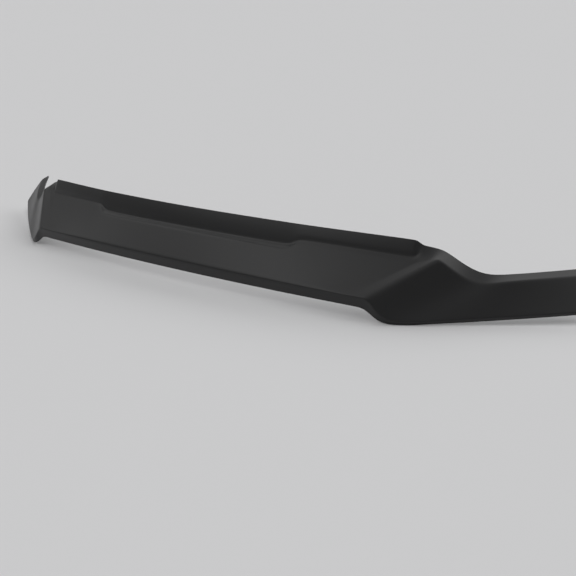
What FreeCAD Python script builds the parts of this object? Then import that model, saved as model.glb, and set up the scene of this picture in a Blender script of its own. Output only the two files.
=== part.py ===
"""Hood bug deflector: one shield formed from plastic sheet, and the foam tape on its back.

The shield crosses the front edge of a vehicle's hood. Millimetres, +X to the
vehicle's left, +Y to the rear, +Z up. The shape is the same on both sides of
X = 0, so every curve below is given for the +X half only.

Five rails run along the shield, from the middle to the end of the wing:
foot      the lower edge
fold      the bend between the hem and the face
face_top  the upper end of the face
root      the bend where the lip stands up from the face
edge      the upper edge
A net of control points is spanned over the rails, and a smooth surface over
the net. The back of the sheet and the tape are the same net, set back.
"""
import FreeCAD, Part
import math
import os

Vector = FreeCAD.Vector

# Every driving size, in millimetres or degrees unless its note says otherwise.
SIZES = [
    ("sheet_thickness", 3.0, "plastic sheet after forming"),
    # the section in the plane of symmetry, measured from the fold
    ("hem_height", 22.0, "hem, from the fold down to the foot"),
    ("hem_setback", 4.0, "foot, behind the fold"),
    ("face_lean", 29.6, "face, leaning back from upright, degrees"),
    ("face_height", 82.3, "face, from the fold up to the root of the low lip"),
    ("lip_height", 27.5, "low lip, from its root up to the edge"),
    ("lip_lean", 15.0, "low lip, leaning back from upright, degrees"),
    # the raised middle of the lip
    ("ledge_drop", 16.0, "root of the high lip, below that of the low lip"),
    ("ledge_rise", 6.0, "ledge, from the face up to the root of the high lip"),
    ("high_lip_half", 278.0, "high lip, from the middle to where its root starts to climb"),
    ("lip_step", 32.0, "length over which the root climbs"),
    # how the middle is bowed, measured at the end of the lip
    ("lip_half", 541.0, "lip, from the middle to its end"),
    ("lip_end_round", 20.0, "length of the rounded end of the lip"),
    ("fold_bow", 28.6, "fold, ahead in the middle"),
    ("lip_bow", 72.2, "edge, ahead in the middle"),
    ("fold_crown", 2.8, "fold, higher in the middle"),
    ("root_crown", 18.6, "root of the lip, higher in the middle"),
    ("edge_crown", 11.9, "edge, higher in the middle"),
    # the shoulder, where the edge runs down to the wing
    ("shoulder_setback", 3.0, "edge beside the lip, behind the end of the lip"),
    ("shoulder_drop", 9.7, "edge beside the lip, below the end of the lip"),
    ("notch_run", 124.0, "lowest point of the edge, beyond the lip"),
    ("notch_setback", 58.0, "lowest point of the edge, behind the edge beside the lip"),
    ("notch_drop", 54.5, "lowest point of the edge, below the edge beside the lip"),
    ("band_width", 26.0, "turned-back band under the edge of shoulder and wing"),
    ("band_tilt", 19.0, "turned-back band, rising to the rear, degrees"),
    ("slope_tilt", 22.0, "further tilt of the band where the edge runs down, degrees"),
    # the corner, where the face turns into the wing
    ("crease_low", 44.0, "crease at the fold, short of the end of the lip"),
    ("crease_high", 59.0, "crease under the band, beyond the end of the lip"),
    ("crease_softness", 13.0, "reach of the crease to each side"),
    ("corner_run", 41.0, "lowest point of the foot, beyond the crease"),
    ("corner_setback", 7.3, "lowest point of the foot, behind the crease at the fold"),
    ("corner_drop", 51.4, "lowest point of the foot, below the crease at the fold"),
    ("wing_hem", 6.0, "hem along the wing"),
    ("wing_hem_setback", 3.0, "foot along the wing, behind the fold"),
    # the wing
    ("foot_run", 314.0, "end of the foot, beyond the corner"),
    ("foot_sweep", 32.2, "foot of the wing, running back, degrees"),
    ("foot_climb", 4.0, "foot of the wing, running up, degrees"),
    ("foot_bow", 27.2, "end of the foot, behind a straight one"),
    ("tip_inset", 20.0, "end of the edge, short of the end of the foot"),
    ("edge_sweep", 38.5, "edge of the wing, running back, degrees"),
    ("edge_climb", 2.7, "edge of the wing, running up, degrees"),
    ("edge_bow", 18.4, "end of the edge, behind a straight one"),
    ("end_bulge", 20.0, "rounded end of the wing, beyond a straight one"),
    # bends
    ("fold_softness", 7.0, "reach of the fold to each side"),
    ("face_top_softness", 4.5, "reach of the bend at the upper end of the face"),
    ("root_softness", 8.0, "reach of the bend at the root of the lip"),
    ("band_softness", 8.0, "reach of the bend under the band to each side"),
    ("gather_step", 8.0, "columns of the net beside the step of the lip"),
    ("gather_low", 57.0, "column of the end of the lip, short of the crease at the fold"),
    ("gather_notch", 20.0, "columns of the net beyond the lowest point, at the edge"),
    # foam tape
    ("tape_thickness", 1.1, "double-sided foam tape"),
    ("tape_width", 12.7, "double-sided foam tape"),
    ("tape_seat", 0.3, "clearance between tape and sheet"),
    ("tape_pitch", 12.0, "sections of a strip, along it"),
    ("lower_tape_inset", 6.0, "lower tape, from the fold"),
    ("upper_tape_margin", 3.0, "upper tape of the middle, below the bend of the ledge"),
    ("band_tape_inset", 1.0, "tape under the band, from the bend below it"),
    ("lower_tape_clear", 55.0, "lower tape of the middle, short of the crease"),
    ("upper_tape_clear", 60.0, "upper tape of the middle, short of the crease"),
    ("wing_tape_clear", 75.0, "tape of the wing, beyond the corner"),
    ("wing_tape_margin", 42.0, "tape of the wing, short of the end of the foot"),
    ("band_tape_clear", 6.0, "tape under the band, beyond the lowest point of the edge"),
    ("band_tape_margin", 20.0, "tape under the band, short of the end of the edge"),
]

# Columns of the net: distance from the middle at the fold, and at the edge.
# They lean outwards at the corner, so that the bend there runs along them.
MIDDLE_COLUMNS = 2
STEP_COLUMNS = 3
FACE_COLUMNS = 2
LIP_END_COLUMNS = 2
SLOPE_COLUMNS = 2
WING_COLUMNS = 2

doc = FreeCAD.newDocument("hood_deflector")
sheet = doc.addObject("Spreadsheet::Sheet", "Sizes")
for line, (alias, value, note) in enumerate(SIZES, start=1):
    sheet.set("A%d" % line, note)
    sheet.set("B%d" % line, repr(value))
    sheet.setAlias("B%d" % line, alias)
doc.recompute()


def size(alias):
    """A driving size, as the spreadsheet holds it."""
    return float(sheet.get(alias))


def slope(alias):
    """The tangent of an angle in the spreadsheet."""
    return math.tan(math.radians(size(alias)))


def between(first, last, share):
    """The value or point that lies at a share of the way from first to last."""
    return first + (last - first) * share


def ease(value, start, end):
    """0 up to start, 1 from end on, and a smooth climb between them."""
    share = min(1.0, max(0.0, (value - start) / (end - start)))
    return share * share * (3 - 2 * share)


# Rails. Each takes the distance from the middle and gives a point.

def bow_share(half):
    """How much of a bow is reached: 0 in the middle, 1 at the end of the lip."""
    return (half / size("lip_half")) ** 2


def middle_fold(half):
    """The fold below the face."""
    part = bow_share(half)
    return Vector(half, size("fold_bow") * part, -size("fold_crown") * part)


def middle_edge(half):
    """The upper edge of the lip."""
    part = bow_share(half)
    depth = size("face_height") * slope("face_lean") + size("lip_height") * slope("lip_lean")
    height = size("face_height") + size("lip_height")
    return Vector(half, depth + size("lip_bow") * part, height - size("edge_crown") * part)


def down_the_lip(half, distance):
    """The point of the leaning lip at a distance below the root of the low lip."""
    height = size("lip_height") + (size("root_crown") - size("edge_crown")) * bow_share(half)
    height += distance
    return middle_edge(half) - Vector(0, height * slope("lip_lean"), height)


def on_face(half, distance):
    """The point of the face at a distance below the root of the low lip."""
    fold = middle_fold(half)
    root = down_the_lip(half, 0)
    return between(root, fold, distance / (root.z - fold.z))


def high_lip(half):
    """1 along the raised middle of the lip, 0 towards its ends, and the step between."""
    start = size("high_lip_half")
    return 1 - ease(half, start, start + size("lip_step"))


def middle_root(half):
    """The root of the lip: on the face at the ends, lower and behind it in the middle."""
    return down_the_lip(half, size("ledge_drop") * high_lip(half))


def middle_face_top(half):
    """The upper end of the face, where the ledge below the high lip begins."""
    return on_face(half, size("ledge_drop") * high_lip(half) + size("ledge_rise"))


def beside_lip():
    """The upper edge beside the rounded end of the lip."""
    end = middle_edge(size("lip_half"))
    return end + Vector(size("lip_end_round"), size("shoulder_setback"), -size("shoulder_drop"))


def notch():
    """The lowest point of the upper edge."""
    away = Vector(size("notch_run"), size("notch_setback"), -size("notch_drop"))
    return beside_lip() + away


def crease_fold():
    """The end of the fold below the face, where the crease of the corner starts."""
    return middle_fold(size("lip_half") - size("crease_low"))


def corner():
    """The lowest point of the foot."""
    away = Vector(size("corner_run"), size("corner_setback"), -size("corner_drop"))
    return crease_fold() + away


def foot_end():
    """How far from the middle the foot ends."""
    return corner().x + size("foot_run")


def edge_end():
    """How far from the middle the edge ends."""
    return foot_end() - size("tip_inset")


def wing_foot(half):
    """The lower edge, from the corner outwards."""
    start = corner()
    run = max(0.0, half - start.x)
    depth = start.y + slope("foot_sweep") * run + size("foot_bow") * (run / size("foot_run")) ** 2
    return Vector(half, depth, start.z + slope("foot_climb") * run)


def wing_fold(half):
    """The fold of the narrow hem along the wing."""
    return wing_foot(half) + Vector(0, -size("wing_hem_setback"), size("wing_hem"))


def wing_edge(half):
    """The upper edge, from the notch outwards."""
    start = notch()
    run = half - start.x
    part = run / (edge_end() - start.x)
    depth = start.y + slope("edge_sweep") * run + size("edge_bow") * part ** 2
    return Vector(half, depth, start.z + slope("edge_climb") * run)


def shoulder_edge(half):
    """The upper edge, from the end of the lip down to the notch: a cubic curve."""
    start = beside_lip()
    end = notch()
    run = end.x - start.x
    share = (half - start.x) / run
    leave = Vector(run, run * slope("edge_sweep"), 0)
    arrive = Vector(run, run * slope("edge_sweep"), run * slope("edge_climb"))
    hook = share * share * (3 - 2 * share)
    point = between(start, end, hook)
    point += leave * (share * (1 - share) ** 2) + arrive * (share * share * (share - 1))
    return point


def foot_rail(half):
    """The whole lower edge."""
    fold = middle_fold(half)
    middle = fold + Vector(0, size("hem_setback"), -size("hem_height"))
    start = crease_fold().x - size("crease_softness")
    return between(middle, wing_foot(half), ease(half, start, corner().x))


def fold_rail(half):
    """The whole fold between hem and face."""
    share = ease(half, crease_fold().x, corner().x)
    return between(middle_fold(half), wing_fold(half), share)


def outer_edge(half):
    """The upper edge outside the lip."""
    if half < notch().x:
        return shoulder_edge(half)
    return wing_edge(half)


def outer_face_top(half):
    """The bend below the turned-back band of shoulder and wing."""
    start = size("lip_half") + size("crease_high")
    share = (half - start) / (notch().x + size("gather_notch") - start)
    share = min(1.0, max(0.0, share))
    tilt = math.radians(size("band_tilt") + size("slope_tilt") * 4 * share * (1 - share))
    width = size("band_width")
    return outer_edge(half) - Vector(0, width * math.cos(tilt), width * math.sin(tilt))


def lip_share(half):
    """1 along the lip, 0 outside it, and its rounded end between."""
    return 1 - ease(half, size("lip_half"), size("lip_half") + size("lip_end_round"))


def top_rails(half):
    """Upper end of the face, root and edge at one distance from the middle."""
    share = lip_share(half)
    if share == 1:
        return [middle_face_top(half), middle_root(half), middle_edge(half)]
    outer_half = max(half, beside_lip().x)
    top = outer_face_top(outer_half)
    edge = outer_edge(outer_half)
    reach = size("lip_half") + size("crease_high")
    points = [
        between(outer_face_top(max(half, reach)), middle_face_top(half),
                1 - ease(half, size("lip_half"), reach)),
        between(between(top, edge, 0.5), middle_root(half), share),
        between(edge, middle_edge(half), share),
    ]
    for point in points:
        point.x = half
    return points


# The net.

def spread(first, last, count):
    """Evenly spaced values after first, up to last."""
    return [between(first, last, (index + 1) / count) for index in range(count)]


def columns():
    """Distance from the middle at the fold and at the edge, for each column of the net."""
    step_start = size("high_lip_half") - size("gather_step")
    step_end = size("high_lip_half") + size("lip_step") + size("gather_step")
    lip_end = size("lip_half")
    reach = size("crease_softness")
    crease_low = crease_fold().x
    crease_high = lip_end + size("crease_high")
    low_start = crease_low - size("gather_low")
    past_notch = notch().x + size("gather_notch")
    tops = [0.0] + spread(0.0, step_start, MIDDLE_COLUMNS)
    tops += spread(step_start, step_end, STEP_COLUMNS)
    lows = list(tops)
    tops += spread(step_end, lip_end, FACE_COLUMNS)
    lows += spread(step_end, low_start, FACE_COLUMNS)
    tops += spread(lip_end, beside_lip().x, LIP_END_COLUMNS)
    lows += spread(low_start, between(low_start, crease_low, 0.45), LIP_END_COLUMNS)
    tops += [crease_high - reach, crease_high, crease_high + reach]
    lows += [crease_low - reach, crease_low, crease_low + reach, corner().x]
    tops += spread(crease_high + reach, past_notch, SLOPE_COLUMNS + 1)
    lows += spread(corner().x, notch().x, SLOPE_COLUMNS)
    tops += spread(past_notch, edge_end(), WING_COLUMNS)
    lows += spread(notch().x, foot_end(), WING_COLUMNS)
    return list(zip(lows, tops))


def bend(before, corner, after, softness):
    """Three control points that round a corner."""
    reach_in = min(softness, 0.4 * (corner - before).Length)
    reach_out = min(softness, 0.4 * (after - corner).Length)
    return [
        corner + (before - corner).normalize() * reach_in,
        corner,
        corner + (after - corner).normalize() * reach_out,
    ]


def column_points(low, top_half):
    """The control points of one column, from the foot up to the edge."""
    foot = foot_rail(low)
    fold = fold_rail(low)
    face_top, root, edge = top_rails(top_half)
    outer = 1 - lip_share(top_half)
    top_softness = between(size("face_top_softness"), size("band_softness"), outer)
    points = [foot, between(foot, fold, 0.5)]
    points += bend(foot, fold, face_top, size("fold_softness"))
    points += [between(fold, face_top, 0.5)]
    points += bend(fold, face_top, root, top_softness)
    points += bend(face_top, root, edge, size("root_softness"))
    points += [between(root, edge, 0.5), between(root, edge, 0.8), edge]
    end_share = ease(low, notch().x, foot_end())
    for index, point in enumerate(points):
        share = (point.z - foot.z) / (edge.z - foot.z)
        bulge = size("end_bulge") * end_share * 4 * share * (1 - share)
        points[index] = point + Vector(bulge, bulge * slope("edge_sweep"), 0)
    return points


def shield_net():
    """Control points of the outer surface, column by column from end to end."""
    half = [column_points(low, top) for low, top in columns()]
    mirrored = [[Vector(-p.x, p.y, p.z) for p in column] for column in reversed(half[1:])]
    return mirrored + half


def set_back(net, distance):
    """The same net, moved to the back of the sheet by a distance square to it."""
    moved = []
    for i, column in enumerate(net):
        before = net[max(i - 1, 0)]
        after = net[min(i + 1, len(net) - 1)]
        row = []
        for j, point in enumerate(column):
            along = after[j] - before[j]
            down = column[max(j, 1)] - column[max(j, 1) - 1]
            up = column[min(j, len(column) - 2) + 1] - column[min(j, len(column) - 2)]
            first = down.cross(along).normalize()
            second = up.cross(along).normalize()
            row.append(point + (first + second) * (distance / (1 + first.dot(second))))
        moved.append(row)
    return moved


def spline_surface(net, degree_up=3):
    """A smooth surface over a net, clamped at its four sides."""
    def knots(count, degree):
        inner = count - degree - 1
        values = [float(k) for k in range(inner + 2)]
        return values, [degree + 1] + [1] * inner + [degree + 1]

    along, along_mults = knots(len(net), 3)
    up, up_mults = knots(len(net[0]), degree_up)
    surface = Part.BSplineSurface()
    surface.buildFromPolesMultsKnots(
        net, along_mults, up_mults, along, up, False, False, 3, degree_up)
    return surface


def bands(surface):
    """One face for each span of the section, so that bends and flats are faces of their own."""
    faces = []
    low, high, _, _ = surface.bounds()
    marks = surface.getVKnots()
    for first, last in zip(marks[:-1], marks[1:]):
        band = surface.copy()
        band.segment(low, high, first, last)
        faces.append(band.toShape())
    return faces


def closed_solid(faces):
    """The solid that the faces enclose."""
    shell = Part.makeShell(faces)
    shell.sewShape()
    solid = Part.Solid(shell)
    if solid.Volume < 0:
        solid.reverse()
    return solid


def sheet_solid(front, back):
    """The solid between two surfaces that are spanned over like nets."""
    faces = bands(front) + bands(back)
    for up in front.bounds()[2:]:
        faces.append(Part.makeRuledSurface(front.vIso(up).toShape(), back.vIso(up).toShape()))
    marks = front.getVKnots()
    for front_end, back_end in zip(front.bounds()[:2], back.bounds()[:2]):
        front_rim = front.uIso(front_end)
        back_rim = back.uIso(back_end)
        for first, last in zip(marks[:-1], marks[1:]):
            faces.append(Part.makeRuledSurface(
                front_rim.toShape(first, last), back_rim.toShape(first, last)))
    return closed_solid(faces)


FRONT_NET = shield_net()
FRONT = spline_surface(FRONT_NET)
BACK = spline_surface(set_back(FRONT_NET, size("sheet_thickness")))

# Where the face and the band begin, in the direction from the foot to the edge:
# the surface is straight from here up to the next bend.
FACE_MARK = 3.0
FACE_END_MARK = 5.0
BAND_MARK = 7.0


def along_back(distance, mark):
    """Where the back lies at a distance from the middle, in its own direction along X."""
    low, high, _, _ = BACK.bounds()
    for _ in range(50):
        middle = (low + high) / 2
        if BACK.value(middle, mark).x < distance:
            low = middle
        else:
            high = middle
    return low


def behind(along, mark, inset, depth):
    """The point at an inset above a mark and at a depth behind the back."""
    up = BACK.uIso(along).parameterAtDistance(inset, mark)
    point = BACK.value(along, up)
    away = BACK.normal(along, up)
    if away.dot(point - FRONT.value(along, up)) < 0:
        away = -away
    return point + away * depth


def tape_shape(mark, inset, first, last):
    """A strip of tape on the back of the sheet, between two distances from the middle."""
    start, end = along_back(first, mark), along_back(last, mark)
    stations = [start] + spread(start, end, math.ceil((last - first) / size("tape_pitch")))
    near = size("tape_seat")
    far = near + size("tape_thickness")
    across = inset + size("tape_width")
    edges = []
    ends = []
    for height, depth in ((inset, near), (across, near), (across, far), (inset, far)):
        points = [behind(along, mark, height, depth) for along in stations]
        line = Part.BSplineCurve()
        line.interpolate(points)
        edges.append(line.toShape())
        ends.append((points[0], points[-1]))
    faces = [Part.makeRuledSurface(edges[i - 1], edges[i]) for i in range(4)]
    for end_points in zip(*ends):
        faces.append(Part.makeRuledSurface(
            Part.makeLine(end_points[0], end_points[1]), Part.makeLine(end_points[3], end_points[2])))
    return closed_solid(faces)


def tape_places():
    """Name and place of every strip."""
    crease = crease_fold().x
    lower = crease - size("lower_tape_clear")
    upper = crease - size("upper_tape_clear")
    wing = (corner().x + size("wing_tape_clear"), foot_end() - size("wing_tape_margin"))
    band = (notch().x + size("band_tape_clear"), edge_end() - size("band_tape_margin"))
    section = BACK.uIso(along_back(0, FACE_MARK))
    upper_inset = section.length(FACE_MARK, FACE_END_MARK) - size("upper_tape_margin") - size("tape_width")
    return {
        "tape_lower_middle": (FACE_MARK, size("lower_tape_inset"), -lower, lower),
        "tape_upper_middle": (FACE_MARK, upper_inset, -upper, upper),
        "tape_lower_left": (FACE_MARK, size("lower_tape_inset"), wing[0], wing[1]),
        "tape_upper_left": (BAND_MARK, size("band_tape_inset"), band[0], band[1]),
        "tape_lower_right": (FACE_MARK, size("lower_tape_inset"), -wing[1], -wing[0]),
        "tape_upper_right": (BAND_MARK, size("band_tape_inset"), -band[1], -band[0]),
    }


def mount_point():
    """The middle of the side of the lowest strip that is pressed on the hood."""
    inset = size("lower_tape_inset") + size("tape_width") / 2
    depth = size("tape_seat") + size("tape_thickness")
    return behind(along_back(0, FACE_MARK), FACE_MARK, inset, depth)


ORIGIN = mount_point()


def add_piece(name, shape):
    """One piece of the document, moved so that the mount lies at the origin."""
    piece = doc.addObject("Part::Feature", name)
    piece.Label = name
    piece.Shape = shape
    piece.Placement = FreeCAD.Placement(-ORIGIN, FreeCAD.Rotation())
    return piece


pieces = [add_piece("shield", sheet_solid(FRONT, BACK))]
pieces += [add_piece(name, tape_shape(*place)) for name, place in tape_places().items()]

doc.recompute()
for item in doc.Objects:
    if "Invalid" in item.State or "Error" in item.State:
        raise RuntimeError("%s failed" % item.Label)
for piece in pieces:
    if piece.Shape.isNull() or not piece.Shape.isValid():
        raise RuntimeError("%s has no valid shape" % piece.Label)
os.makedirs("parts", exist_ok=True)
print("origin", [round(value, 3) for value in ORIGIN])
for piece in pieces:
    piece.Shape.exportStep("parts/%s.step" % piece.Label)
    box = piece.Shape.BoundBox
    print(piece.Label, "volume", round(piece.Shape.Volume), "faces", len(piece.Shape.Faces),
          "box", [round(v, 1) for v in (box.XMin, box.XMax, box.YMin, box.YMax, box.ZMin, box.ZMax)])
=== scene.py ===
# %% [markdown]
# # A hood bug deflector, dressed over its CAD model
#
# The real thing is one sheet of black acrylic, heated until it is soft and drawn over a
# tool. It crosses the front edge of a hood and wraps round both of its corners. Strips
# of foam tape on its back hold it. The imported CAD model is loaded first. It fixes every
# size, and nothing below moves it.

import math

import bpy
from mathutils import Matrix, Vector
from mathutils.bvhtree import BVHTree


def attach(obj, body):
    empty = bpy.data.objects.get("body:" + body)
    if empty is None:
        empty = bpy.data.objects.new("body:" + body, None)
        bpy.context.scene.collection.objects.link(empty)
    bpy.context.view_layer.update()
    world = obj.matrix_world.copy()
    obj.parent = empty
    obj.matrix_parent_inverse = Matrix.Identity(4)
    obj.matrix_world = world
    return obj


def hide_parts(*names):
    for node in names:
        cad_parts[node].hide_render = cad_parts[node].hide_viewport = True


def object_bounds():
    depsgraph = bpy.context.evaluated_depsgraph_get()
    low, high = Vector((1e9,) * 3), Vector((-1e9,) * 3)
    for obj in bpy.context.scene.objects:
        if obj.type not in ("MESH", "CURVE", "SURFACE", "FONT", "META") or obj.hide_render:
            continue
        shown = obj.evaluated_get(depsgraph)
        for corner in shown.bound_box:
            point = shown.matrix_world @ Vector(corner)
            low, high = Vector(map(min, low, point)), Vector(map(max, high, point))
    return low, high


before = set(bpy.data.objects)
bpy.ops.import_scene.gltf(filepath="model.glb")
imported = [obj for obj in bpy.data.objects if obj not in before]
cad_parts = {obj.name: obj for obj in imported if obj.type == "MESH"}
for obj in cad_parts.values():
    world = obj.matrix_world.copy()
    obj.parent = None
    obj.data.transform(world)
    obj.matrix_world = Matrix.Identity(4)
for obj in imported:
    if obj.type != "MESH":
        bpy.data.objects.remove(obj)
cad_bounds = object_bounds()
scene = bpy.context.scene
MM = 0.001
print("CAD nodes:", sorted(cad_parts))

# %% [markdown]
# ## The shape of the sheet
#
# The CAD surface is spanned over five lines that run from the middle of the shield to
# the end of each wing: the foot, the fold above it, the top of the face, the root of
# the lip and the upper edge. Its mesh is coarse, so long flat triangles would show in a
# satin reflection. The same lines are drawn again here, as a cage of about 500 quads,
# and a subdivision surface over the cage gives the same smooth sheet. The sizes are
# those of the CAD model, in millimetres and degrees. Two shape the looks alone, and
# say so. In every function, half is the distance from the middle of the shield.

# %% Helpers for points along a line
def slope(degrees):
    """The tangent of an angle."""
    return math.tan(math.radians(degrees))


def between(first, last, share):
    """The value or point that lies at a share of the way from first to last."""
    return first + (last - first) * share


def ease(value, start, end):
    """0 up to start, 1 from end on, and a smooth climb between them."""
    share = min(1.0, max(0.0, (value - start) / (end - start)))
    return share * share * (3 - 2 * share)


def hump(share):
    """0 at both ends of a stretch and 1 in its middle."""
    return 4 * share * (1 - share)


print("ease over a stretch:", [round(ease(value, 0, 4), 2) for value in range(5)])

# %% [markdown]
# The middle is bowed: seen from above it runs back towards the ends, and seen from the
# front the fold and the lip drop a little. Both follow the square of the distance from
# the middle. The lip bows more than the fold, so the face leans back further towards
# its ends. In the raised middle the root of the lip sits lower, behind a small ledge.

# %% Sizes of the middle, measured from the fold in the plane of symmetry
FACE_LEAN, FACE_HEIGHT = 29.6, 82.3
LIP_LEAN, LIP_HEIGHT, LIP_HALF = 15.0, 27.5, 541.0
LEDGE_DROP, LEDGE_RISE = 16.0, 6.0
HIGH_LIP_HALF, LIP_STEP = 278.0, 32.0
FOLD_BOW, LIP_BOW = 28.6, 72.2
FOLD_CROWN, ROOT_CROWN, EDGE_CROWN = 2.8, 18.6, 11.9
print("lip:", 2 * LIP_HALF, "mm long, its raised part", 2 * HIGH_LIP_HALF, "mm")


# %% The lines of the middle
def bow_share(half):
    """How much of a bow is reached: 0 in the middle, 1 at the end of the lip."""
    return (half / LIP_HALF) ** 2


def middle_fold(half):
    """The fold below the face."""
    part = bow_share(half)
    return Vector((half, FOLD_BOW * part, -FOLD_CROWN * part))


def middle_edge(half):
    """The upper edge of the lip."""
    part = bow_share(half)
    depth = FACE_HEIGHT * slope(FACE_LEAN) + LIP_HEIGHT * slope(LIP_LEAN)
    return Vector((half, depth + LIP_BOW * part, FACE_HEIGHT + LIP_HEIGHT - EDGE_CROWN * part))


def down_the_lip(half, distance):
    """The point of the leaning lip at a distance below the root of the low lip."""
    height = LIP_HEIGHT + (ROOT_CROWN - EDGE_CROWN) * bow_share(half) + distance
    return middle_edge(half) - Vector((0, height * slope(LIP_LEAN), height))


def on_face(half, distance):
    """The point of the face at a distance below the root of the low lip."""
    fold = middle_fold(half)
    root = down_the_lip(half, 0)
    return between(root, fold, distance / (root.z - fold.z))


def high_lip(half):
    """1 along the raised middle of the lip, 0 towards its ends, and the step between."""
    return 1 - ease(half, HIGH_LIP_HALF, HIGH_LIP_HALF + LIP_STEP)


def middle_root(half):
    """The root of the lip: on the face at the ends, lower and behind it in the middle."""
    return down_the_lip(half, LEDGE_DROP * high_lip(half))


def middle_face_top(half):
    """The upper end of the face, where the ledge below the high lip begins."""
    return on_face(half, LEDGE_DROP * high_lip(half) + LEDGE_RISE)


for place in (0, LIP_HALF):
    print("at %.0f mm: root %.0f mm and edge %.0f mm high"
          % (place, middle_root(place).z, middle_edge(place).z))

# %% [markdown]
# Outside the lip the upper edge falls over a shoulder to a notch, where the wing begins.
# The face ends at a slanting crease, in which the sheet turns round the hood's corner.
# Its lower edge drops there to the lowest point of the wing. Along the top of shoulder
# and wing a band is turned back, and it tilts more on the slope of the shoulder.

# %% Fixed points of the shoulder and the wing
LIP_END_ROUND, SHOULDER_SETBACK, SHOULDER_DROP = 20.0, 3.0, 9.7
NOTCH_RUN, NOTCH_SETBACK, NOTCH_DROP = 124.0, 58.0, 54.5
CREASE_LOW, CREASE_HIGH = 44.0, 59.0
CORNER_RUN, CORNER_SETBACK, CORNER_DROP = 41.0, 7.3, 51.4
FOOT_RUN, TIP_INSET = 314.0, 20.0

beside_lip = middle_edge(LIP_HALF) + Vector((LIP_END_ROUND, SHOULDER_SETBACK, -SHOULDER_DROP))
notch = beside_lip + Vector((NOTCH_RUN, NOTCH_SETBACK, -NOTCH_DROP))
crease_fold = middle_fold(LIP_HALF - CREASE_LOW)
crease_high = LIP_HALF + CREASE_HIGH
corner = crease_fold + Vector((CORNER_RUN, CORNER_SETBACK, -CORNER_DROP))
foot_end = corner.x + FOOT_RUN
edge_end = foot_end - TIP_INSET
print("from the middle: corner %.0f mm, notch %.0f mm, end of the wing %.0f mm"
      % (corner.x, notch.x, foot_end))

# %% The lines of the wing
FOOT_SWEEP, FOOT_CLIMB, FOOT_BOW = 32.2, 4.0, 27.2
EDGE_SWEEP, EDGE_CLIMB, EDGE_BOW = 38.5, 2.7, 18.4
BAND_WIDTH, BAND_TILT, SLOPE_TILT = 26.0, 19.0, 22.0
GATHER_NOTCH = 20.0
past_notch = notch.x + GATHER_NOTCH


def wing_foot(half):
    """The lower edge, from the corner outwards."""
    run = max(0.0, half - corner.x)
    depth = corner.y + slope(FOOT_SWEEP) * run + FOOT_BOW * (run / FOOT_RUN) ** 2
    return Vector((half, depth, corner.z + slope(FOOT_CLIMB) * run))


def wing_edge(half):
    """The upper edge, from the notch outwards."""
    run = half - notch.x
    part = run / (edge_end - notch.x)
    depth = notch.y + slope(EDGE_SWEEP) * run + EDGE_BOW * part ** 2
    return Vector((half, depth, notch.z + slope(EDGE_CLIMB) * run))


def shoulder_edge(half):
    """The upper edge, from the end of the lip down to the notch: a cubic curve."""
    run = notch.x - beside_lip.x
    share = (half - beside_lip.x) / run
    leave = Vector((run, run * slope(EDGE_SWEEP), 0))
    arrive = Vector((run, run * slope(EDGE_SWEEP), run * slope(EDGE_CLIMB)))
    point = between(beside_lip, notch, ease(half, beside_lip.x, notch.x))
    return point + leave * (share * (1 - share) ** 2) + arrive * (share * share * (share - 1))


def outer_edge(half):
    """The upper edge outside the lip."""
    return shoulder_edge(half) if half < notch.x else wing_edge(half)


def outer_face_top(half):
    """The bend below the turned-back band of shoulder and wing."""
    share = min(1.0, max(0.0, (half - crease_high) / (past_notch - crease_high)))
    tilt = math.radians(BAND_TILT + SLOPE_TILT * hump(share))
    return outer_edge(half) - BAND_WIDTH * Vector((0, math.cos(tilt), math.sin(tilt)))


print("wing: %.0f mm high at the notch, %.0f mm at its end"
      % (notch.z - wing_foot(notch.x).z, wing_edge(edge_end).z - wing_foot(foot_end).z))

# %% The whole lines, from the middle to the end of the wing
HEM_HEIGHT, HEM_SETBACK = 22.0, 4.0
WING_HEM, WING_HEM_SETBACK = 6.0, 3.0
CREASE_SOFTNESS = 13.0

# For the looks alone: beside the lip the shoulder lies this much further back and lower.
SHOULDER_EASE = Vector((0, 8.0, -2.5))


def foot_line(half):
    """The lower edge."""
    middle = middle_fold(half) + Vector((0, HEM_SETBACK, -HEM_HEIGHT))
    return between(middle, wing_foot(half), ease(half, crease_fold.x - CREASE_SOFTNESS, corner.x))


def fold_line(half):
    """The fold between hem and face."""
    wing = wing_foot(half) + Vector((0, -WING_HEM_SETBACK, WING_HEM))
    return between(middle_fold(half), wing, ease(half, crease_fold.x, corner.x))


def lip_share(half):
    """1 along the lip, 0 outside it, and its rounded end between."""
    return 1 - ease(half, LIP_HALF, LIP_HALF + LIP_END_ROUND)


def top_lines(half):
    """Upper end of the face, root and edge. Outside the lip the root is midway on the band."""
    share = lip_share(half)
    if share == 1:
        return [middle_face_top(half), middle_root(half), middle_edge(half)]
    outer = max(half, beside_lip.x)
    edge = outer_edge(outer) + SHOULDER_EASE * (1 - ease(outer, beside_lip.x, notch.x))
    face_top = between(outer_face_top(max(half, crease_high)), middle_face_top(half),
                       1 - ease(half, LIP_HALF, crease_high))
    points = [
        face_top,
        between(between(face_top, edge, 0.5), middle_root(half), share),
        between(edge, middle_edge(half), share),
    ]
    for point in points:
        point.x = half
    return points


for place in (0, LIP_HALF, notch.x):
    heights = [foot_line(place).z, fold_line(place).z] + [point.z for point in top_lines(place)]
    print("heights of the five lines at %.0f mm:" % place, [round(height) for height in heights])

# %% [markdown]
# ## The cage
#
# Each column of the cage crosses the lines from the foot to the edge. A bend gets three
# points close together: a subdivision surface rounds it within their reach. The columns
# lean outwards at the corner, because the bend between face and wing runs that way. They
# also stand closer where the lip steps down, at its end and at the crease.

# %% Where the columns stand, at the fold and at the edge
MIDDLE_COLUMNS, STEP_COLUMNS, FACE_COLUMNS, LIP_END_COLUMNS = 2, 3, 2, 4
SLOPE_COLUMNS, WING_COLUMNS = 2, 2

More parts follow.
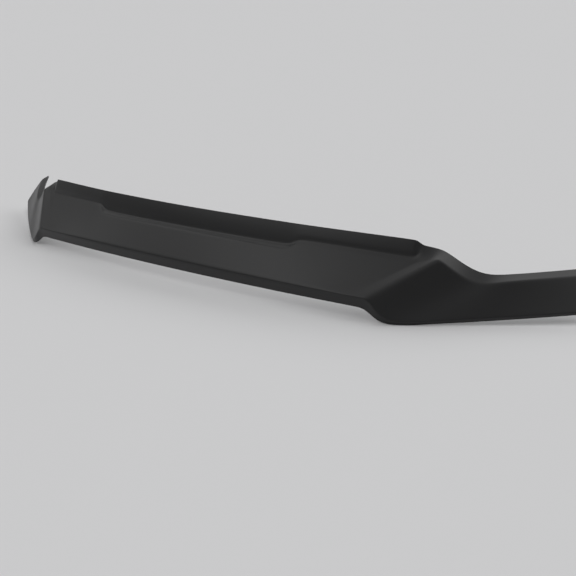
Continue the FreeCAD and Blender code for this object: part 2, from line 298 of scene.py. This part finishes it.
# Columns gather this far round the step of the lip.
GATHER_STEP = 8.0

# The columns of the lip's end meet the fold from this far before the crease, over this
# share of the way to it.
GATHER_LOW, GATHER_SHARE = 57.0, 0.45


def spread(first, last, count):
    """Evenly spaced values after first, up to last."""
    return [between(first, last, (index + 1) / count) for index in range(count)]


step_start = HIGH_LIP_HALF - GATHER_STEP
step_end = HIGH_LIP_HALF + LIP_STEP + GATHER_STEP
low_start = crease_fold.x - GATHER_LOW
shared = [0.0] + spread(0.0, step_start, MIDDLE_COLUMNS)
shared += spread(step_start, step_end, STEP_COLUMNS)
lows = shared + spread(step_end, low_start, FACE_COLUMNS)
lows += spread(low_start, between(low_start, crease_fold.x, GATHER_SHARE), LIP_END_COLUMNS)
lows += [crease_fold.x - CREASE_SOFTNESS, crease_fold.x, crease_fold.x + CREASE_SOFTNESS, corner.x]
lows += spread(corner.x, notch.x, SLOPE_COLUMNS)
lows += spread(notch.x, foot_end, WING_COLUMNS)
highs = shared + spread(step_end, LIP_HALF, FACE_COLUMNS)
highs += spread(LIP_HALF, beside_lip.x, LIP_END_COLUMNS)
highs += [crease_high - CREASE_SOFTNESS, crease_high, crease_high + CREASE_SOFTNESS]
highs += spread(crease_high + CREASE_SOFTNESS, past_notch, SLOPE_COLUMNS + 1)
highs += spread(past_notch, edge_end, WING_COLUMNS)
print("columns of one half, at the fold:", [round(low) for low in lows])
print("and at the edge:", [round(high) for high in highs])

# %% One column of the cage
FOLD_SOFTNESS, FACE_TOP_SOFTNESS, ROOT_SOFTNESS, BAND_SOFTNESS = 7.0, 4.5, 8.0, 8.0

# A bend reaches at most this share of the way to the next line.
MOST_REACH = 0.4

# The end of the wing bulges outwards this far, between foot and edge.
END_BULGE = 20.0

# For the looks alone: the edge of the lip curls this far back and down. The rows between
# root and edge stand at these shares of the lip.
LIP_CURL = Vector((0, 4.0, -1.2))
LIP_ROWS = (0.5, 0.8, 1.0)


def bend(before, corner_point, after, softness):
    """Three points that round a corner."""
    reach_in = min(softness, MOST_REACH * (corner_point - before).length)
    reach_out = min(softness, MOST_REACH * (after - corner_point).length)
    return [
        corner_point + (before - corner_point).normalized() * reach_in,
        corner_point,
        corner_point + (after - corner_point).normalized() * reach_out,
    ]


def column_points(low, high):
    """The points of one column, from the foot up to the edge."""
    foot = foot_line(low)
    fold = fold_line(low)
    face_top, root, edge = top_lines(high)
    top_softness = between(FACE_TOP_SOFTNESS, BAND_SOFTNESS, 1 - lip_share(high))
    points = [foot, between(foot, fold, 0.5)]
    points += bend(foot, fold, face_top, FOLD_SOFTNESS)
    points += [between(fold, face_top, 0.5)]
    points += bend(fold, face_top, root, top_softness)
    points += bend(face_top, root, edge, ROOT_SOFTNESS)
    curl = LIP_CURL * lip_share(high)
    points += [between(root, edge, share) + curl * share ** 2 for share in LIP_ROWS]
    end_share = ease(low, notch.x, foot_end)
    bulged = []
    for point in points:
        share = (point.z - foot.z) / (edge.z - foot.z)
        bulge = END_BULGE * end_share * hump(share)
        bulged.append(point + Vector((bulge, bulge * slope(EDGE_SWEEP), 0)))
    return bulged


print("depths of the middle column:", [round(point.y) for point in column_points(0.0, 0.0)])

# %% The cage as a mesh
# The CAD origin is on the foam tape, this far behind and above the fold.
MOUNT = Vector((0.0, 15.94, 17.603))

half_net = [column_points(low, high) for low, high in zip(lows, highs)]
other_half = [[Vector((-p.x, p.y, p.z)) for p in column] for column in reversed(half_net[1:])]
net = other_half + half_net
rows = len(net[0])
cage_points = [(point - MOUNT) * MM for column in net for point in column]
cage_quads = []
for column in range(len(net) - 1):
    for row in range(rows - 1):
        first = column * rows + row
        cage_quads.append((first, first + rows, first + rows + 1, first + 1))
cage_mesh = bpy.data.meshes.new("shield_cage")
cage_mesh.from_pydata(cage_points, [], cage_quads)
shield = bpy.data.objects.new("shield_sheet", cage_mesh)
scene.collection.objects.link(shield)
print("cage:", len(net), "columns of", rows, "points,", len(cage_quads), "quads")

# %% [markdown]
# ## Black acrylic
#
# The sheet is poly(methyl methacrylate), cast with a fine matt grain and tinted black all
# through. Its refractive index is 1.49, so it reflects 4 % straight on and far more at a
# grazing angle, and the grain spreads that into a soft sheen. The real grain is about
# 0.2 mm, too fine to show here, so it is drawn at 0.8 mm and kept very shallow.

# %% Helpers for nodes and colours
def add_node(tree, kind, settings=None, **inputs):
    """Adds a node. A socket as a value is linked, anything else is set. _0 is the first input."""
    node = tree.nodes.new(kind)
    for name, value in (settings or {}).items():
        setattr(node, name, value)
    for name, value in inputs.items():
        socket = node.inputs[int(name[1:])] if name[1:].isdigit() else node.inputs[name.replace("_", " ")]
        if isinstance(value, bpy.types.NodeSocket):
            tree.links.new(value, socket)
        else:
            socket.default_value = value
    return node


def srgb(code):
    """A linear colour from an sRGB hex value such as #1a1a1a."""
    channels = [int(code[place:place + 2], 16) / 255 for place in (1, 3, 5)]
    linear = [c / 12.92 if c <= 0.04045 else ((c + 0.055) / 1.055) ** 2.4 for c in channels]
    return (*linear, 1.0)


print("mid grey #808080 is", round(srgb("#808080")[0], 3), "in linear light")

# %% The acrylic
ACRYLIC_COLOUR = "#141415"
ACRYLIC_ROUGHNESS = 0.38
ACRYLIC_IOR = 1.49
GRAIN_SIZE = 0.8 * MM
GRAIN_DEPTH = 0.004 * MM


def matt_acrylic():
    """Black acrylic sheet with a fine matt grain."""
    material = bpy.data.materials.new("black_matt_acrylic")
    material.use_nodes = True
    tree = material.node_tree
    shader = tree.nodes["Principled BSDF"]
    shader.inputs["Base Color"].default_value = srgb(ACRYLIC_COLOUR)
    shader.inputs["Roughness"].default_value = ACRYLIC_ROUGHNESS
    shader.inputs["IOR"].default_value = ACRYLIC_IOR
    place = add_node(tree, "ShaderNodeTexCoord")
    grain = add_node(tree, "ShaderNodeTexNoise", Vector=place.outputs["Object"],
                     Scale=1 / GRAIN_SIZE, Detail=1.0)
    relief = add_node(tree, "ShaderNodeBump", Distance=GRAIN_DEPTH, Height=grain.outputs["Fac"])
    tree.links.new(relief.outputs["Normal"], shader.inputs["Normal"])
    return material


acrylic = matt_acrylic()
print("acrylic:", ACRYLIC_COLOUR, "roughness", ACRYLIC_ROUGHNESS)

# %% [markdown]
# ## From cage to sheet, with Geometry Nodes
#
# The tree smooths the cage, then gives it the thickness of the sheet. Two modifiers could
# do that too, but one tree keeps both steps together and has the two values that a maker
# would change as its inputs. The smoothed surface is turned over and extruded to the
# rear, which makes the back and the rim. The surface itself closes the front.

# %% The tree that makes the sheet
SHEET = 3.0
SMOOTH_LEVEL = 3
WELD = 0.01 * MM


def sheet_tree():
    """Smooths a cage and gives it a thickness."""
    tree = bpy.data.node_groups.new("formed_sheet", "GeometryNodeTree")
    tree.interface.new_socket("Cage", in_out="INPUT", socket_type="NodeSocketGeometry")
    level = tree.interface.new_socket("Level", in_out="INPUT", socket_type="NodeSocketInt")
    level.default_value = SMOOTH_LEVEL
    thick = tree.interface.new_socket("Thickness", in_out="INPUT", socket_type="NodeSocketFloat")
    thick.default_value = SHEET * MM
    tree.interface.new_socket("Sheet", in_out="OUTPUT", socket_type="NodeSocketGeometry")
    given = add_node(tree, "NodeGroupInput")
    front = add_node(tree, "GeometryNodeSubdivisionSurface", Mesh=given.outputs["Cage"],
                     Level=given.outputs["Level"])
    turned = add_node(tree, "GeometryNodeFlipFaces", Mesh=front.outputs["Mesh"])
    outward = add_node(tree, "GeometryNodeInputNormal")
    offset = add_node(tree, "ShaderNodeVectorMath", {"operation": "SCALE"},
                      Vector=outward.outputs["Normal"], Scale=given.outputs["Thickness"])
    wall = add_node(tree, "GeometryNodeExtrudeMesh", {"mode": "FACES"},
                    Mesh=turned.outputs["Mesh"], Offset=offset.outputs["Vector"],
                    Individual=False)
    both = add_node(tree, "GeometryNodeJoinGeometry")
    tree.links.new(wall.outputs["Mesh"], both.inputs["Geometry"])
    tree.links.new(front.outputs["Mesh"], both.inputs["Geometry"])
    closed = add_node(tree, "GeometryNodeMergeByDistance", Geometry=both.outputs["Geometry"],
                      Distance=WELD)
    real = add_node(tree, "GeometryNodeRealizeInstances", Geometry=closed.outputs["Geometry"])
    finish = add_node(tree, "GeometryNodeSetMaterial", Geometry=real.outputs["Geometry"],
                      Material=acrylic)
    smooth = add_node(tree, "GeometryNodeSetShadeSmooth", Geometry=finish.outputs["Geometry"])
    result = add_node(tree, "NodeGroupOutput")
    tree.links.new(smooth.outputs["Geometry"], result.inputs["Sheet"])
    return tree


formed_sheet = sheet_tree()
print("tree:", len(formed_sheet.nodes), "nodes, sheet", SHEET, "mm thick")

# %% [markdown]
# The rim of the real sheet is sawn, then scraped until it is not sharp. A bevel that acts
# only on steep angles rounds the rim and leaves the smooth bends alone.

# %% Grow the sheet and round its rim
RIM_ROUND, RIM_SEGMENTS, RIM_ANGLE = 0.8 * MM, 2, 50.0


def bake_modifiers(piece):
    """Turns what the modifiers show into the piece's plain mesh, and removes them."""
    graph = bpy.context.evaluated_depsgraph_get()
    mesh = bpy.data.meshes.new_from_object(piece.evaluated_get(graph))
    piece.modifiers.clear()
    piece.data = mesh
    return mesh


grow = shield.modifiers.new("formed_sheet", "NODES")
grow.node_group = formed_sheet
bake_modifiers(shield)
rim = shield.modifiers.new("rim", "BEVEL")
rim.width = RIM_ROUND
rim.segments = RIM_SEGMENTS
rim.limit_method = "ANGLE"
rim.angle_limit = math.radians(RIM_ANGLE)
rim.harden_normals = True
sheet_mesh = bake_modifiers(shield)
print("sheet:", len(sheet_mesh.vertices), "points,", len(sheet_mesh.polygons), "faces")

# %% Measure how far the sheet is from the CAD surface
cad_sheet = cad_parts["shield"]
cad_tree = BVHTree.FromPolygons([v.co for v in cad_sheet.data.vertices],
                                [p.vertices for p in cad_sheet.data.polygons])
gaps = [cad_tree.find_nearest(v.co)[3] for v in sheet_mesh.vertices]
print("sheet to CAD surface: mean %.2f mm, most %.2f mm"
      % (sum(gaps) / len(gaps) / MM, max(gaps) / MM))

# %% Let the sheet stand for the CAD shield
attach(shield, "root")
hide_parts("shield")
print("dressed:", shield.name)

# %% [markdown]
# ## Foam tape
#
# The strips are closed-cell acrylic foam, 1.1 mm thick, with glue on both sides. Their CAD
# shape is right, so they keep it and get the soft dull black of the foam.

# %% The tape's material
TAPE_COLOUR = "#2a2a2c"
TAPE_ROUGHNESS = 0.75
TAPE_PORE = 0.6 * MM
TAPE_PORE_DEPTH = 0.03 * MM


def foam_tape():
    """Dull black closed-cell foam."""
    material = bpy.data.materials.new("acrylic_foam_tape")
    material.use_nodes = True
    tree = material.node_tree
    shader = tree.nodes["Principled BSDF"]
    shader.inputs["Base Color"].default_value = srgb(TAPE_COLOUR)
    shader.inputs["Roughness"].default_value = TAPE_ROUGHNESS
    place = add_node(tree, "ShaderNodeTexCoord")
    pores = add_node(tree, "ShaderNodeTexVoronoi", Vector=place.outputs["Object"],
                     Scale=1 / TAPE_PORE)
    relief = add_node(tree, "ShaderNodeBump", Distance=TAPE_PORE_DEPTH,
                      Height=pores.outputs["Distance"])
    tree.links.new(relief.outputs["Normal"], shader.inputs["Normal"])
    return material


tape_finish = foam_tape()
tapes = [node for name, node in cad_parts.items() if name.startswith("tape_")]
for tape in tapes:
    tape.data.materials.clear()
    tape.data.materials.append(tape_finish)
print("foam tape on", len(tapes), "strips")

# %% [markdown]
# ## Floor, light and camera
#
# The shield stands on a plain pale floor, as on a photographer's table. A satin black
# sheet is seen by what it mirrors, so the light is a sky of soft panels. The leaning face
# mirrors a panel high at the front left. The ledge and the turned-back bands mirror a
# larger one behind. The upright lip and the near wing mirror the dim part between, so
# each reads as its own plane. A weak light overhead, a weak wall at the far left and a
# pale horizon at the right fill in the rest.

# %% The floor
FLOOR_HALF = 40.0
FLOOR_COLOUR = "#d8d8d9"
FLOOR_ROUGHNESS = 0.9

floor_height = cad_bounds[0][2]
floor_mesh = bpy.data.meshes.new("floor")
corners = [(-1, -1), (1, -1), (1, 1), (-1, 1)]
floor_mesh.from_pydata([(x * FLOOR_HALF, y * FLOOR_HALF, floor_height) for x, y in corners],
                       [], [(0, 1, 2, 3)])
floor = bpy.data.objects.new("floor", floor_mesh)
scene.collection.objects.link(floor)
floor_paint = bpy.data.materials.new("pale_floor")
floor_paint.use_nodes = True
floor_shader = floor_paint.node_tree.nodes["Principled BSDF"]
floor_shader.inputs["Base Color"].default_value = srgb(FLOOR_COLOUR)
floor_shader.inputs["Roughness"].default_value = FLOOR_ROUGHNESS
floor_shader.inputs["Specular IOR Level"].default_value = 0.0
floor_mesh.materials.append(floor_paint)
print("floor: %.1f mm below the origin" % (-floor_height / MM))

# %% A world whose brightness follows the direction
# The front panel is brightest towards this side.
FRONT_LEFT = Vector((-0.35, -0.94, 0.0))

world = bpy.data.worlds.new("soft_panels")
scene.world = world
world.use_nodes = True
sky = world.node_tree
look = add_node(sky, "ShaderNodeTexCoord")
parts = add_node(sky, "ShaderNodeSeparateXYZ", Vector=look.outputs["Generated"])
ahead = add_node(sky, "ShaderNodeVectorMath", {"operation": "DOT_PRODUCT"},
                 _0=look.outputs["Generated"], _1=FRONT_LEFT)
to_right, to_rear, to_top = parts.outputs["X"], parts.outputs["Y"], parts.outputs["Z"]
to_front_left = ahead.outputs["Value"]


def sky_ramp(direction, reach, first, last):
    """A smooth change of brightness over a reach of one direction, from -1 to 1."""
    start, end = reach
    ramp = add_node(sky, "ShaderNodeMapRange", {"interpolation_type": "SMOOTHSTEP"}, Value=direction,
                    From_Min=start, From_Max=end, To_Min=first, To_Max=last)
    return ramp.outputs["Result"]


def sky_math(operation, first, second):
    """Two brightnesses joined by one operation."""
    return add_node(sky, "ShaderNodeMath", {"operation": operation}, _0=first, _1=second).outputs["Value"]


print("world:", world.name)

# %% The sky of soft panels
# Each panel has its strength and the reaches over which it fades in or out.
FRONT_LIGHT, FRONT_RISE, FRONT_SPREAD, FRONT_END = 1.3, (0.30, 0.52), (0.05, 0.75), (-0.35, 0.05)
REAR_LIGHT, REAR_RISE, REAR_SPREAD = 1.35, (0.22, 0.52), (-0.06, 0.25)
REAR_END, REAR_END_SHARE = (-0.9, -0.65), 0.1
WALL_LIGHT, WALL_END = 0.16, (-0.97, -0.82)
FILL_LIGHT, FILL_RISE = 0.4, (0.4, 0.8)
HORIZON_LEFT, HORIZON_RIGHT, HORIZON_TOP, HORIZON_TURN = 0.1, 0.5, (0.08, 0.15), (-0.4, 0.0)
DIM_LEFT, DIM_RIGHT, DIM_TURN = 0.12, 0.18, (-0.2, 0.6)

front_panel = sky_math("MULTIPLY", sky_ramp(to_top, FRONT_RISE, 0.0, 1.0),
                       sky_ramp(to_front_left, FRONT_SPREAD, 0.0, FRONT_LIGHT))
front_panel = sky_math("MULTIPLY", front_panel, sky_ramp(to_right, FRONT_END, 1.0, 0.0))
rear_panel = sky_math("MULTIPLY", sky_ramp(to_top, REAR_RISE, 0.0, 1.0),
                      sky_ramp(to_rear, REAR_SPREAD, 0.0, REAR_LIGHT))
rear_panel = sky_math("MULTIPLY", rear_panel, sky_ramp(to_right, REAR_END, REAR_END_SHARE, 1.0))
left_wall = sky_ramp(to_right, WALL_END, WALL_LIGHT, 0.0)
fill = sky_ramp(to_top, FILL_RISE, 0.0, FILL_LIGHT)
horizon = sky_math("MULTIPLY", sky_ramp(to_top, HORIZON_TOP, 1.0, 0.0),
                   sky_ramp(to_right, HORIZON_TURN, HORIZON_LEFT, HORIZON_RIGHT))
brightest = sky_math("MAXIMUM", sky_math("MAXIMUM", fill, horizon),
                     sky_math("MAXIMUM", front_panel, rear_panel))
brightest = sky_math("MAXIMUM", brightest, left_wall)
dim = sky_ramp(to_right, DIM_TURN, DIM_LEFT, DIM_RIGHT)
sky.links.new(sky_math("ADD", brightest, dim), sky.nodes["Background"].inputs["Strength"])
sky.nodes["Background"].inputs["Color"].default_value = (1, 1, 1, 1)
print("sky:", len(sky.nodes), "nodes")

# %% [markdown]
# The camera's place, angles and lens were fitted to points along the shield's lines, so
# they fall within a pixel or two of where the photograph shows them.

# %% The camera, at the photograph's angle
CAMERA_PLACE = Vector((1.588, -1.5275, 0.612))
CAMERA_AZIMUTH, CAMERA_ELEVATION, CAMERA_ROLL = 39.84, 17.89, -1.83
CAMERA_LENS, SENSOR_WIDTH = 64.54, 36.0

azimuth, elevation, roll = (math.radians(v) for v in (CAMERA_AZIMUTH, CAMERA_ELEVATION, CAMERA_ROLL))
back = Vector((math.sin(azimuth) * math.cos(elevation),
               -math.cos(azimuth) * math.cos(elevation), math.sin(elevation)))
level = Vector((0, 0, 1)).cross(back).normalized()
upright = back.cross(level)
right = math.cos(roll) * level + math.sin(roll) * upright
up = -math.sin(roll) * level + math.cos(roll) * upright
camera_data = bpy.data.cameras.new("camera")
camera_data.lens = CAMERA_LENS
camera_data.sensor_width = SENSOR_WIDTH
camera = bpy.data.objects.new("camera", camera_data)
scene.collection.objects.link(camera)
camera.matrix_world = Matrix.Translation(CAMERA_PLACE) @ Matrix((right, up, back)).transposed().to_4x4()
scene.camera = camera
scene.view_settings.view_transform = "Standard"
print("camera: %.2f m from the origin" % CAMERA_PLACE.length)
